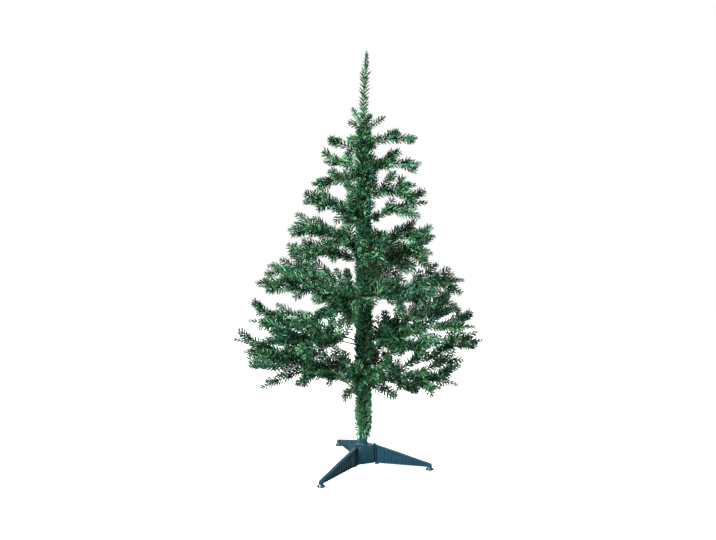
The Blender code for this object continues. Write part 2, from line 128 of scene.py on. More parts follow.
# Fine forms of the wires and of the strip wound on the pole
TWIG_WIRE_RADIUS = 0.0010
EYE_RADIUS = 0.0016
WIRE_PITCH = 0.009
WIRE_RELIEF = 0.22
STRIP_PITCH = 0.0115
STRIP_BASE = 0.0004
STRIP_EDGE = 0.0009

# Needles: what a pair of numbers gives is the least and the most
NEEDLES_PER_METRE = 3900
NEEDLE_WIDTH = 0.0019
NEEDLE_SCATTER = 0.08
NEEDLE_ROOT = 0.0008
BARE_END = 0.005
TWIST_PITCH = 0.0195
PITCH_RANGE = (0.9, 1.1)
TUFTS_A_TURN = 6
TUFT_WIDTH = 0.30
TUFT_SWING = 0.16
TUFT_REACHES = (0.84, 1.02)
OWN_REACHES = (0.88, 1.02)
GARLAND_LEAN = 0.85
TIP_LEAN = 0.3
INNER_SPREAD = 0.90
SPREAD_START = 0.008
TRIANGLES_A_PIECE = 185000

# Garland of the pole. Its colours are places in NEEDLE_COLOURS, its slopes a mean and a scatter. Below
# BARE_POLE_TOP, where the pole stands open under the lowest boughs, most tufts take the light green: painted
# light on the foot of the pole.
POLE_TUFTS = 4600
POLE_TUFT_NEEDLES = 4
POLE_NEEDLE_WIDTH = 0.0018
POLE_NEEDLE_LENGTHS = (0.019, 0.028)
POLE_PITCH = 0.013
POLE_SLOPE = (1.15, 0.40)
SKIRT_SLOPE = (-1.6, 0.6)
SKIRT_TOP = 0.014
SKIRT_DROP = 0.003
# Painted light: the open foot of the pole is mostly light green so that it looks lit, while the garland under
# the boughs keeps the plain green
POLE_PAINTED_LIGHT_COLOUR = 3
POLE_PAINTED_LIGHT_SHARE = 0.85
INNER_POLE_COLOUR = 0
BARE_POLE_TOP = 0.25

# Colours of the needles, and the share of each among the sprays and among the tufts. The light green and the
# deep green are partly the film's own tones and partly painted highlight and painted shade.
NEEDLE_COLOURS = {
    "green": (0.040, 0.150, 0.068),
    # Deep green: a darker tone of film, and painted shade standing for the dark gaps between the needles
    "deep green": (0.005, 0.026, 0.014),
    "blue green": (0.020, 0.120, 0.085),
    # Light green: a lighter tone of film, and a painted highlight standing for the glints of the glossy
    # needles
    "light green": (0.155, 0.410, 0.200),
    "olive": (0.110, 0.130, 0.055),
}
SPRAY_SHARES = (0.44, 0.24, 0.18, 0.10, 0.04)
NEEDLE_SHARES = (0.18, 0.42, 0.08, 0.27, 0.05)
MAIN_SHARE = 0.40
STRAY_SHARE = 0.15

# The other finishes, from dark to light
WIRE_COLOURS = ((0.010, 0.022, 0.014), (0.030, 0.060, 0.036))
STRIP_COLOURS = ((0.012, 0.040, 0.022), (0.026, 0.075, 0.038))
PLASTIC_COLOURS = ((0.007, 0.040, 0.060), (0.010, 0.048, 0.072))
UNEVENNESS = 0.28

# Finer twigs: shares of the stem's or the twig's length, angles in degrees
FINE_SHARES = ((0.12, 0.32), (0.42, 0.62))
FINE_LEANS = (32, 48)
FINE_LENGTH = 0.050
FINE_LIMIT = 0.5
FINE_SCALE = 0.93
FILLER_SHARE = 0.50
FILLER_FAN = (-105, 105)
INNER_SHARE = 0.10
INNER_LEANS = (75, 125)
OUTER_SHARE = 0.15
OUTER_LEANS = (40, 75)
OUTER_RUN = 0.6
LEADER_SCALE = 1.00
LEADER_TWIG_BARE = 0.006
LEADER_TWIG_SCALE = 0.75

# Camera and light
CAMERA_PLACE = (0.0, -3.0, 1.16)
CAMERA_PITCH = 10.753
CAMERA_LENS = 53.87
CAMERA_SHIFT = -0.0074
FLOOR_SIZE = 4
FLOOR_GREY = 0.9
FLOOR_GLOW = 0.80
KEY_PLACE = (-2.2, -2.5, 2.1)
KEY_SIZE = 0.9
KEY_POWER = 340
FILL_PLACE = (1.2, -3.2, 0.7)
FILL_SIZE = 1.2
FILL_POWER = 25
LIGHT_AIM = (0, 0, 0.55)
SKY_DIRECTION = (0.0, 0.45, 0.89)
SKY_STRENGTHS = (0.04, 1.2)

Tier = namedtuple("Tier", "name seed bare limbs twigs twig_length arch boughs")
Bough = namedtuple("Bough", "side root heading reach rise")
Spray = namedtuple("Spray", "name path bare spread scale tip_reach")

# A bough leaves the pole at the height root, runs out to reach and up by rise.
TIERS = (
    Tier("low", 12, 0.070, True, 7, 0.140, 0.055, (
        Bough("left", 0.235, 190, 0.374, 0.170),
        Bough("front_left", 0.248, 214, 0.370, 0.115),
        Bough("front", 0.252, 272, 0.325, 0.100),
        Bough("front_right", 0.256, 331, 0.300, 0.038),
        Bough("right", 0.240, 20, 0.384, 0.112),
        Bough("back", 0.246, 76, 0.338, 0.090),
        Bough("back_left", 0.238, 134, 0.345, 0.090),
    )),
    Tier("second", 3, 0.065, True, 7, 0.130, 0.055, (
        Bough("left", 0.380, 176, 0.334, 0.055),
        Bough("front_left", 0.370, 218, 0.335, 0.060),
        Bough("front_right", 0.388, 298, 0.350, 0.040),
        Bough("right", 0.382, 357, 0.322, 0.045),
        Bough("back_right", 0.378, 36, 0.368, 0.050),
        Bough("back_left", 0.390, 108, 0.335, 0.070),
    )),
    Tier("middle", 24, 0.020, False, 6, 0.120, 0.07, (
        Bough("left", 0.500, 188, 0.306, 0.062),
        Bough("front", 0.495, 250, 0.295, 0.020),
        Bough("front_right", 0.512, 312, 0.290, 0.020),
        Bough("right", 0.498, 8, 0.294, 0.055),
        Bough("back_right", 0.500, 74, 0.290, 0.060),
        Bough("back_left", 0.508, 148, 0.342, 0.060),
    )),
    Tier("upper", 24, 0.018, False, 5, 0.100, 0.08, (
        Bough("left", 0.660, 178, 0.214, 0.045),
        Bough("front_left", 0.612, 204, 0.222, 0.050),
        Bough("front", 0.668, 288, 0.205, 0.010),
        Bough("front_right", 0.602, 330, 0.220, 0.055),
        Bough("right", 0.655, 6, 0.206, 0.028),
        Bough("back_right", 0.585, 44, 0.275, 0.030),
        Bough("back_left", 0.620, 112, 0.235, 0.040),
    )),
    Tier("high", 1, 0.016, False, 4, 0.085, 0.07, (
        Bough("left", 0.757, 194, 0.172, 0.032),
        Bough("front", 0.745, 250, 0.165, 0.010),
        Bough("front_right", 0.790, 335, 0.160, 0.050),
        Bough("right", 0.730, 20, 0.196, 0.045),
        Bough("back_left", 0.760, 105, 0.170, 0.030),
    )),
    Tier("crown", 5, 0.014, False, 3, 0.070, 0.04, (
        Bough("left", 0.845, 192, 0.146, -0.006),
        Bough("front", 0.862, 268, 0.125, 0.000),
        Bough("right", 0.882, 353, 0.162, 0.012),
        Bough("back", 0.865, 60, 0.135, 0.020),
        Bough("back_left", 0.890, 152, 0.128, 0.004),
    )),
    Tier("top", 12, 0.012, False, 2, 0.055, 0.03, (
        Bough("left", 0.926, 190, 0.099, 0.036),
        Bough("front", 0.944, 275, 0.095, 0.010),
        Bough("right", 0.952, 352, 0.150, 0.013),
        Bough("back", 0.938, 100, 0.100, 0.030),
    )),
)

# The leader's own twigs leave its axis just above the pole.
LEADER_TWIGS = (
    Bough("back", 0.994, 110, 0.092, 0.050),
    Bough("back_right", 0.986, 45, 0.085, 0.034),
    Bough("front", 0.990, 285, 0.080, 0.044),
    Bough("left", 0.990, 215, 0.050, 0.022),
)


# Paths of the stems and twigs, as in the source

def unit(vector):
    return vector / np.linalg.norm(vector)


def pole_radius(height):
    return POLE_RADIUS if height < POLE_STEP else TOP_POLE_RADIUS


def stem_path(bough, arch, start, steps=10):
    """Points of a bough's stem, which leaves the pole level and ends at its tip."""
    heading = math.radians(bough.heading)
    points = [(start * math.cos(heading), start * math.sin(heading), bough.root)]
    for step in range(steps):
        t = step / (steps - 1)
        out = start + STEM_NECK + (bough.reach - start - STEM_NECK) * t
        height = bough.root + bough.rise * t + 4 * arch * bough.reach * t * (1 - t)
        points.append((out * math.cos(heading), out * math.sin(heading), height))
    return np.array(points)


def leader_path(steps=12):
    """The leader's stem, straight up from the pole and leaning a little at its tip."""
    points = []
    for step in range(steps + 1):
        t = step / steps
        points.append((LEADER_LEAN * t * t, 0, POLE_TOP + GAP + (TREE_HEIGHT - POLE_TOP - GAP) * t))
    return np.array(points)


def leader_twig_path(twig):
    return stem_path(twig, 0.0, 0.0)


def lengths(path):
    """The length of a path up to each of its points."""
    steps = np.linalg.norm(np.diff(path, axis=0), axis=1)
    return np.concatenate(([0], np.cumsum(steps)))


def at_length(path, distance):
    """The point at a distance along a path, and the direction there."""
    done = lengths(path)
    i = min(max(int(np.searchsorted(done, distance)) - 1, 0), len(path) - 2)
    direction = unit(path[i + 1] - path[i])
    return path[i] + (distance - done[i]) * direction, direction


def twig_path(stem, share, roll, lean, length, droop, steps=4):
    """A twig that leaves a stem at a share of its length, rolled about it from straight up."""
    root, forward = at_length(stem, share * lengths(stem)[-1])
    forward = unit(forward * (1, 1, 0.25))
    side = unit(np.cross(forward, (0, 0, 1)))
    up = np.cross(side, forward)
    away = math.cos(roll) * up + math.sin(roll) * side
    direction = math.cos(lean) * forward + math.sin(lean) * away
    points = [root]
    for _ in range(steps):
        points.append(points[-1] + direction * length / steps)
        direction = unit(direction + 0.10 * forward - (0, 0, droop / steps))
    return np.array(points)


def needle_reach(distance, total, bare=0.0, spread=None):
    """How far the needles stand out at a distance along a spray of a total length."""
    if distance <= bare:
        return WIRE_RADIUS
    fall = max(0.0, (distance / total - FULL_TO) / (1 - FULL_TO))
    reach = NEEDLE_REACH + (TIP_REACH - NEEDLE_REACH) * fall
    return min(reach, spread * (distance + SPREAD_START)) if spread else reach


def capsules(path, bare=0.0, spread=None, step=0.02):
    """A path as rows of start, end and radius."""
    total = lengths(path)[-1]
    count = max(2, round(total / step))
    cuts = np.linspace(0, total, count + 1)
    points = [at_length(path, cut)[0] for cut in cuts]
    rows = []
    for i in range(count):
        radius = needle_reach((cuts[i] + cuts[i + 1]) / 2, total, bare, spread)
        rows.append((*points[i], *points[i + 1], radius))
    return np.array(rows)


def room(rows, others):
    """The least space between two sets of capsules, less than nothing where they meet."""
    points = np.concatenate((rows[:, 0:3], (rows[:, 0:3] + rows[:, 3:6]) / 2, rows[:, 3:6]))
    radii = np.tile(rows[:, 6], 3)
    run = others[:, 3:6] - others[:, 0:3]
    away = points[:, None] - others[None, :, 0:3]
    share = np.clip((away * run).sum(-1) / (run * run).sum(-1), 0, 1)
    distance = np.linalg.norm(away - share[..., None] * run, axis=-1)
    return (distance - radii[:, None] - others[:, 6]).min()


def fixed_rooms():
    """The rooms of the pole with its garland, and of the leader with its twigs."""
    pole = np.array([(0, 0, WRAP_BOTTOM, 0, 0, POLE_TOP, POLE_KEEP)])
    sprays = [capsules(leader_path())] + [capsules(leader_twig_path(twig)) for twig in LEADER_TWIGS]
    return np.concatenate([pole] + sprays)


def grow_twigs(tier, stems, twigs, rooms):
    """Gives each bough of a tier its twigs in turn.

    A twig that has no room is turned, cut short or left out.
    """
    for i in range(tier.twigs):
        for place, bough in enumerate(tier.boughs):
            name = f"{tier.name}_{bough.side}"
            rng = random.Random(f"{tier.seed} {name} {i}")
            step = (i + rng.uniform(-0.3, 0.3)) / max(tier.twigs - 1, 1)
            share = min(max(FIRST_TWIG + (LAST_TWIG - FIRST_TWIG) * step, FIRST_TWIG), END_OF_TWIGS)
            roll = TWIG_FAN[(i + place) % len(TWIG_FAN)] + rng.uniform(-18, 18)
            lean = math.radians(rng.uniform(*TWIG_LEANS))
            length = tier.twig_length * rng.uniform(0.88, 1.12) * (1.1 - 0.32 * share)
            droop = rng.uniform(-0.25, 0.25)
            others = np.concatenate([rows for owner, rows in rooms.items() if owner != name])
            mine = [capsules(twig)[1:] for twig in twigs[name]]
            tries = [(shrink, turn) for shrink in SHRINKS for turn in TURNS]
            for shrink, turn in tries:
                angle = math.radians(roll + turn)
                path = twig_path(stems[name], share, angle, lean, length * shrink, droop)
                if np.hypot(path[-1][0], path[-1][1]) > bough.reach * 0.99:
                    continue
                rows = capsules(path)
                if room(rows, others) <= CLEARANCE:
                    continue
                if mine and room(rows[1:], np.concatenate(mine)) <= -OWN_OVERLAP:
                    continue
                twigs[name].append(path)
                rooms[name] = np.concatenate((rooms[name], rows))
                break


def plan_boughs():
    """The stem and the twigs of every bough, by name."""
    stems, twigs, rooms = {}, {}, {"fixed": fixed_rooms()}
    for tier in TIERS:
        for bough in tier.boughs:
            name = f"{tier.name}_{bough.side}"
            stems[name] = stem_path(bough, tier.arch, pole_radius(bough.root) + GAP)
            twigs[name] = []
            rooms[name] = capsules(stems[name], tier.bare, SPREAD)
    for tier in TIERS:
        grow_twigs(tier, stems, twigs, rooms)
    return stems, twigs


# Finer twigs, by the same rule and within the same reach

def fine_twig(name, stem, shares, rolls, leans, length, reach):
    """A short twig off a stem or twig, turned until it stays within the bough's reach and off the pole."""
    rng = random.Random(f"fine {name}")
    share = rng.uniform(*shares)
    roll = rng.uniform(*rolls)
    lean = math.radians(rng.uniform(*leans))
    length *= rng.uniform(0.85, 1.15)
    droop = rng.uniform(-0.2, 0.2)
    for turn in TURNS:
        path = twig_path(stem, share, math.radians(roll + turn), lean, length, droop)
        radii = np.hypot(path[:, 0], path[:, 1])
        if radii[-1] < reach * 0.97 and radii.min() > POLE_KEEP:
            return path
    return None


def fine_twigs(tier, bough, name, stem, twigs):
    """The short twigs that fill a bough: off each of its twigs, and off its stem near the pole and beyond."""
    title = f"{tier.seed} {name}"
    reach = bough.reach
    paths = []
    for i, twig in enumerate(twigs):
        length = min(FINE_LENGTH, FINE_LIMIT * lengths(twig)[-1])
        for k, shares in enumerate(FINE_SHARES):
            paths.append(fine_twig(f"{title} {i} {k}", twig, shares, (0, 360), FINE_LEANS, length, reach))
    length = FILLER_SHARE * tier.twig_length
    first = (tier.bare + 0.010) / lengths(stem)[-1]
    for k in range(tier.twigs):
        if k % 2 == 0:
            shares, leans = (first, first + INNER_SHARE), INNER_LEANS
        else:
            start = first + OUTER_RUN * k / tier.twigs
            shares, leans = (start, start + OUTER_SHARE), OUTER_LEANS
        paths.append(fine_twig(f"{title} stem {k}", stem, shares, FILLER_FAN, leans, length, reach))
    return [path for path in paths if path is not None]


def smooth_path(path, step=0.003, passes=8):
    """The same path with a point every few millimetres and its corners rounded."""
    done = lengths(path)
    cuts = np.linspace(0, done[-1], max(6, round(done[-1] / step)) + 1)
    points = np.column_stack([np.interp(cuts, done, path[:, axis]) for axis in range(3)])
    for _ in range(passes):
        points[1:-1] = (points[:-2] + 2 * points[1:-1] + points[2:]) / 4
    return points


def bough_sprays(tier, bough, stem, twigs):
    """Every spray of garland of one bough."""
    name = f"{tier.name}_{bough.side}"
    sprays = [Spray(name, smooth_path(stem), tier.bare, INNER_SPREAD, 1.0, TIP_REACH)]
    for i, twig in enumerate(twigs):
        sprays.append(Spray(f"{name} {i}", smooth_path(twig), 0.0, None, 1.0, TIP_REACH))
    for i, twig in enumerate(fine_twigs(tier, bough, name, stem, twigs)):
        sprays.append(Spray(f"{name} fine {i}", smooth_path(twig), 0.0, None, FINE_SCALE, TIP_REACH))
    return sprays


def leader_sprays():
    """The sprays of the leader: its own and those of its twigs."""
    sprays = [Spray("leader", smooth_path(leader_path()), 0.0, None, LEADER_SCALE, LEADER_TIP_REACH)]
    for i, twig in enumerate(LEADER_TWIGS):
        path = smooth_path(leader_twig_path(twig))
        spray = Spray(f"leader {i}", path, LEADER_TWIG_BARE, INNER_SPREAD, LEADER_TWIG_SCALE, TIP_REACH)
        sprays.append(spray)
    return sprays


# Mesh helpers

def unit_rows(rows):
    return rows / np.linalg.norm(rows, axis=1, keepdims=True)


def along(path, distance):
    """Points at many distances along a path, and the directions there."""
    done = lengths(path)
    slopes = np.gradient(path, axis=0)
    points = np.column_stack([np.interp(distance, done, path[:, axis]) for axis in range(3)])
    forward = np.column_stack([np.interp(distance, done, slopes[:, axis]) for axis in range(3)])
    return points, unit_rows(forward)


def frames(forward):
    """Two directions across each of many forward directions, turning smoothly along a path."""
    upright = abs(forward[:, 2]).mean() > 0.9
    side = unit_rows(np.cross(forward, (0.0, 1.0, 0.0) if upright else (0.0, 0.0, 1.0)))
    return side, np.cross(side, forward)


def generator(name):
    """A numpy generator seeded from a name."""
    return np.random.default_rng(random.Random(name).getrandbits(32))


def joined(parts):
    """Several meshes as one: parts are pairs of points and triangles."""
    points, triangles, count = [], [], 0
    for part_points, part_triangles in parts:
        points.append(part_points)
        triangles.append(part_triangles + count)
        count += len(part_points)
    return np.concatenate(points), np.concatenate(triangles)


def skin(rings, foot, head):
    """A closed mesh over rings of points, with a fan to a point in the middle of each end."""
    count, sides = rings.shape[:2]
    points = np.concatenate((rings.reshape(-1, 3), foot, head))
    here = np.arange(sides)
    there = (here + 1) % sides
    last = (count - 1) * sides
    foot_place, head_place = np.full(sides, count * sides), np.full(sides, count * sides + 1)
    triangles = []
    for low in range(0, last, sides):
        high = low + sides
        triangles.append(np.column_stack((low + here, low + there, high + there)))
        triangles.append(np.column_stack((low + here, high + there, high + here)))
    triangles.append(np.column_stack((foot_place, there, here)))
    triangles.append(np.column_stack((head_place, last + here, last + there)))
    return points, np.concatenate(triangles)


def mesh_object(name, points, triangles, materials, indices=None):
    """An object from arrays of points and triangles, with a material index for each triangle."""
    mesh = bpy.data.meshes.new(name)
    mesh.vertices.add(len(points))
    mesh.vertices.foreach_set("co", points.astype(np.float32).ravel())
    mesh.loops.add(3 * len(triangles))
    mesh.loops.foreach_set("vertex_index", triangles.astype(np.int32).ravel())
    mesh.polygons.add(len(triangles))
    mesh.polygons.foreach_set("loop_start", np.arange(0, 3 * len(triangles), 3, dtype=np.int32))
    for material in materials:
        mesh.materials.append(material)
    if indices is not None:
        mesh.polygons.foreach_set("material_index", indices.astype(np.int32))
    mesh.update(calc_edges=True)
    mesh.shade_smooth()
    thing = bpy.data.objects.new(name, mesh)
    bpy.context.scene.collection.objects.link(thing)
    return thing


def settle(thing, nodes):
    """Says what a finished piece rides on and stands for."""
    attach(thing, "root")
    if nodes:
        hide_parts(*nodes)


# Needles

def blades(base, direction, outward, length, width, rng):
    """Five points and three triangles for each needle: a narrow strip that bows and ends in a point.

    Most strips are turned edge on to the wire, by about 1.35 radians.
    """
    count = len(base)
    tangent = unit_rows(np.cross(direction, outward))
    turn = rng.normal(1.35, 0.45, count)[:, None]
    across = np.cos(turn) * tangent + np.sin(turn) * np.cross(direction, tangent)
    half = width / 2 * rng.uniform(0.8, 1.2, count)[:, None] * across
    long = length[:, None]
    bow = rng.normal(0.04, 0.04, count)[:, None] * long * outward
    middle = base + 0.55 * long * direction + bow
    tip = base + long * direction
    points = np.stack((base - 0.6 * half, base + 0.6 * half, middle + half, middle - half, tip), axis=1)
    corners = np.array(((0, 1, 2), (0, 2, 3), (3, 2, 4)))
    triangles = corners[None] + 5 * np.arange(count)[:, None, None]
    return points.reshape(-1, 3), triangles.reshape(-1, 3)


def needle_colours(main, tuft, rng, main_share=MAIN_SHARE):
    """A colour for each needle: its tuft's, often the spray's own, with a few strays."""
    count, tufts = len(tuft), tuft.max() + 1
    shared = rng.choice(len(NEEDLE_COLOURS), tufts, p=NEEDLE_SHARES)
    shared = np.where(rng.random(tufts)[tuft] < main_share, main, shared[tuft])
    stray = rng.choice(len(NEEDLE_COLOURS), count, p=NEEDLE_SHARES)
    return np.where(rng.random(count) < STRAY_SHARE, stray, shared)


def spray_needles(spray):
    """The needles of one spray, in two ranks of tufts that twist about its wire, and the colour of each."""
    rng = generator(f"needles {spray.name}")
    total = lengths(spray.path)[-1]
    last = total - BARE_END
    count = int((last - spray.bare) * NEEDLES_PER_METRE)
    distance = spray.bare + (last - spray.bare) * (np.arange(count) + rng.random(count)) / count
    rank = np.arange(count) % 2
    pitch = TWIST_PITCH * rng.uniform(*PITCH_RANGE)
    twist = distance / pitch + rng.random() + 0.12 * np.sin(distance / 0.019 + 6 * rng.random())

    # Each needle is pulled along the wire and round it towards the middle of its tuft.
    step = np.floor(TUFTS_A_TURN * (twist - twist.min()))
    tuft = step.astype(int) * 2 + rank
    tufts = tuft.max() + 1
    pull = (1 - TUFT_WIDTH) * ((step + 0.5) / TUFTS_A_TURN + twist.min() - twist)
    distance = np.clip(distance + pull * pitch, spray.bare, last)
    centre, forward = along(spray.path, distance)
    side, up = frames(forward)
    swing = rng.normal(0, TUFT_SWING, tufts)[tuft]
    angle = 2 * np.pi * (twist + pull) + np.pi * rank + swing + rng.normal(0, NEEDLE_SCATTER, count)
    outward = np.cos(angle)[:, None] * side + np.sin(angle)[:, None] * up

    # The needles get shorter and lean further towards the tip, and end a little past the wire.
    fall = np.clip((distance / total - FULL_TO) / (1 - FULL_TO), 0, 1)
    reach = spray.scale * (NEEDLE_REACH + (spray.tip_reach - NEEDLE_REACH) * fall)
    if spray.spread:
        reach = np.minimum(reach, spray.spread * (distance - spray.bare + SPREAD_START))
    reach *= rng.uniform(*TUFT_REACHES, tufts)[tuft] * rng.uniform(*OWN_REACHES, count)
    lean = GARLAND_LEAN + rng.normal(0, 0.12, tufts)[tuft] + rng.normal(0, 0.04, count) + TIP_LEAN * fall
    reach = np.minimum(reach, (total + 0.004 - distance) / lean)
    direction = unit_rows(outward + lean[:, None] * forward)
    length = reach * np.sqrt(1 + lean * lean)
    points, triangles = blades(centre + NEEDLE_ROOT * outward, direction, outward, length, NEEDLE_WIDTH, rng)
    main = rng.choice(len(NEEDLE_COLOURS), p=SPRAY_SHARES)
    return points, triangles, np.repeat(needle_colours(main, tuft, rng), 3)


def make_needles(name, groups, materials):
    """Pieces of needles from groups of sprays, one group to a node.

    A new piece starts where one would grow too big.
    """
    pieces, current, size = [], [], 0
    for node, sprays in groups:
        grown = [spray_needles(spray) for spray in sprays]
        count = sum(len(triangles) for _, triangles, _ in grown)
        if current and size + count > TRIANGLES_A_PIECE:
            pieces.append(current)
            current, size = [], 0
        current.append((node, grown))
        size += count
    pieces.append(current)
    for number, piece in enumerate(pieces, start=1):
        grown = [part for _, parts in piece for part in parts]
        points, triangles = joined([(part[0], part[1]) for part in grown])
        colours = np.concatenate([part[2] for part in grown])
        title = f"needles_{name}_{number}" if len(pieces) > 1 else f"needles_{name}"
        thing = mesh_object(title, points, triangles, materials, colours)
        settle(thing, [node for node, _ in piece])


# Wires

def tube(path, radii, sides, relief=0.0):
    """A closed tube along a path. The relief gives it the form of two wires twisted together."""
    forward = unit_rows(np.gradient(path, axis=0))
    side, up = frames(forward)
    angle = 2 * np.pi * np.arange(sides) / sides
    turn = 2 * np.pi * lengths(path)[:, None] / WIRE_PITCH
    radius = radii[:, None] * (1 + relief * np.cos(2 * (angle[None] - turn)))
    spokes = np.cos(angle)[None, :, None] * side[:, None] - np.sin(angle)[None, :, None] * up[:, None]
    return skin(path[:, None] + radius[..., None] * spokes, path[:1], path[-1:])


def hooked(path, steps=5):
    """A twig's wire with its end bent back into a small eye."""
    forward = unit(path[-1] - path[-2])
    side = frames(forward[None])[0][0]
    points = [path]
    for k in range(1, steps + 1):
        turn = 1.3 * math.pi * k / steps
        arc = EYE_RADIUS * (math.sin(turn) * forward + (1 - math.cos(turn)) * side)
        points.append((path[-1] + arc)[None])
    return np.concatenate(points)


def make_limbs(stems, material):
    """The bare wires of the boughs of the two lowest tiers, thick at the pole."""
    parts, nodes = [], []
    for tier in TIERS:
        for bough in tier.boughs if tier.limbs else ():
            name = f"{tier.name}_{bough.side}"
            path = smooth_path(stems[name], 0.001, 24)
            path = path[lengths(path) <= tier.bare]
            radii = LIMB_ROOT_RADIUS + (WIRE_RADIUS - LIMB_ROOT_RADIUS) * (lengths(path) / tier.bare)
            parts.append(tube(path, radii, 10, WIRE_RELIEF))
            nodes.append(f"bough_{name}")
    points, triangles = joined(parts)
    settle(mesh_object("bough_wires", points, triangles, [material]), nodes)


def make_twig_wires(sprays, material):
    """The wires inside the garland, which show where the needles part."""
    parts = []
    for spray in sprays:
        path = spray.path[lengths(spray.path) >= spray.bare - 0.003]
        every_second = np.concatenate((path[:-1:2], path[-1:]))
        path = hooked(every_second)
        parts.append(tube(path, np.full(len(path), TWIG_WIRE_RADIUS), 5))
    points, triangles = joined(parts)
    settle(mesh_object("twig_wires", points, triangles, [material]), [])


# Pole

def make_pole(material, sides=24, step=0.0015):
    """The pole, bare in the collar and wound above it with a strip whose edges stand proud."""
    heights = np.arange(SOCKET_FLOOR + SOCKET_FLOOR_DEPTH + GAP, POLE_TOP, step)
    angle = 2 * np.pi * np.arange(sides) / sides
    radius = np.where(heights < POLE_STEP, POLE_RADIUS, TOP_POLE_RADIUS)[:, None]
    phase = (heights[:, None] / STRIP_PITCH - angle[None] / (2 * np.pi)) % 1
    wound = np.clip((heights - WRAP_BOTTOM) / 0.004, 0, 1)[:, None]
    radius = radius + wound * (STRIP_BASE + STRIP_EDGE * phase ** 2)
    levels = np.repeat(heights[:, None], sides, axis=1)
    rings = np.stack((radius * np.cos(angle), radius * np.sin(angle), levels), axis=-1)
    points, triangles = skin(rings, [(0, 0, heights[0])], [(0, 0, heights[-1])])
    settle(mesh_object("pole", points, triangles, [material]), ["trunk_pole"])


def make_pole_garland(materials):
    """Garland wound round the pole in close turns, its needles up and out, with a skirt over the collar."""
    rng = generator("pole garland")
    tufts = POLE_TUFTS
    count = tufts * POLE_TUFT_NEEDLES
    tuft = np.repeat(np.arange(tufts), POLE_TUFT_NEEDLES)
    share = (np.arange(tufts) + rng.random(tufts)) / tufts
    low = WRAP_BOTTOM - SKIRT_DROP + (POLE_TOP - WRAP_BOTTOM + SKIRT_DROP) * share
    skirt = (low < WRAP_BOTTOM + SKIRT_TOP) & (rng.random(tufts) < 0.5)
    turn = 2 * np.pi * low / POLE_PITCH + rng.normal(0, 1.2, tufts)
    slope = np.where(skirt, rng.normal(*SKIRT_SLOPE, tufts), rng.normal(*POLE_SLOPE, tufts))
    height = low[tuft] + rng.normal(0, 0.0005, count)
    radius = np.where(height < POLE_STEP, POLE_RADIUS, TOP_POLE_RADIUS) + STRIP_BASE + NEEDLE_ROOT
    angle = turn[tuft] + rng.normal(0, 0.06, count)
    outward = np.column_stack((np.cos(angle), np.sin(angle), np.zeros(count)))
    around = np.column_stack((-np.sin(angle), np.cos(angle), np.zeros(count)))
    upright = np.array((0, 0, 1))
    rise = slope[tuft] + rng.normal(0, 0.05, count)
    swing = rng.normal(0, 0.45, tufts)[tuft] + rng.normal(0, 0.04, count)
    direction = unit_rows(outward + swing[:, None] * around + rise[:, None] * upright)
    length = rng.uniform(*POLE_NEEDLE_LENGTHS, tufts)[tuft] * rng.uniform(0.85, 1.0, count)
    base = radius[:, None] * outward + height[:, None] * upright
    points, triangles = blades(base, direction, outward, length, POLE_NEEDLE_WIDTH, rng)
    # Painted light: below BARE_POLE_TOP most tufts take the light green, so the open foot of the pole looks
    # lit
    bare = low < BARE_POLE_TOP
    main = np.where(bare, POLE_PAINTED_LIGHT_COLOUR, INNER_POLE_COLOUR)[tuft]
    main_share = np.where(bare, POLE_PAINTED_LIGHT_SHARE, MAIN_SHARE)[tuft]
    colours = needle_colours(main, tuft, rng, main_share)
    thing = mesh_object("pole_garland", points, triangles, materials, np.repeat(colours, 3))
    settle(thing, ["trunk_wrap"])


# Stand

def add_mesh(bm, part, matrix=None):
    """Adds a finished bmesh to another."""
    mesh = bpy.data.meshes.new("part")
    if matrix is not None:
        part.transform(matrix)
    part.to_mesh(mesh)
    part.free()
    bm.from_mesh(mesh)
    bpy.data.meshes.remove(mesh)


def bevelled(part, width):
    """The same solid with its faces turned outward and its edges rounded by a width, or left sharp."""
    bmesh.ops.recalc_face_normals(part, faces=part.faces)
    if width:
        edges = part.edges[:]
        bmesh.ops.bevel(
            part, geom=edges, offset=width, segments=2, affect="EDGES", profile=0.5, clamp_overlap=True
        )
    return part


def prism(outline, low, high, bevel=0.0):
    """An outline in X and Y, drawn up from low to high along Z."""
    part = bmesh.new()
    bottom = [part.verts.new((x, y, low)) for x, y in outline]
    top = [part.verts.new((x, y, high)) for x, y in outline]
    part.faces.new(list(reversed(bottom)))
    part.faces.new(top)
    for a in range(len(outline)):
        b = (a + 1) % len(outline)
        part.faces.new((bottom[a], bottom[b], top[b], top[a]))
    return bevelled(part, bevel)


def frame_prism(outer, inner, low, high, bevel=0.0):
    """The band between two outlines of as many points, drawn up along Z."""
    part = bmesh.new()
    rings = []
    for outline, height in ((outer, low), (outer, high), (inner, high), (inner, low)):
        rings.append([part.verts.new((x, y, height)) for x, y in outline])
    for k in range(4):
        first, second = rings[k], rings[(k + 1) % 4]
        for a in range(len(outer)):
            b = (a + 1) % len(outer)
            part.faces.new((first[a], first[b], second[b], second[a]))
    return bevelled(part, bevel)


def box(low, high, bevel=0.0):
    part = bmesh.new()
    size = [b - a for a, b in zip(low, high)]
    middle = [(a + b) / 2 for a, b in zip(low, high)]
    bmesh.ops.create_cube(part, size=1, matrix=Matrix.Translation(middle) @ Matrix.Diagonal((*size, 1)))
    return bevelled(part, bevel)


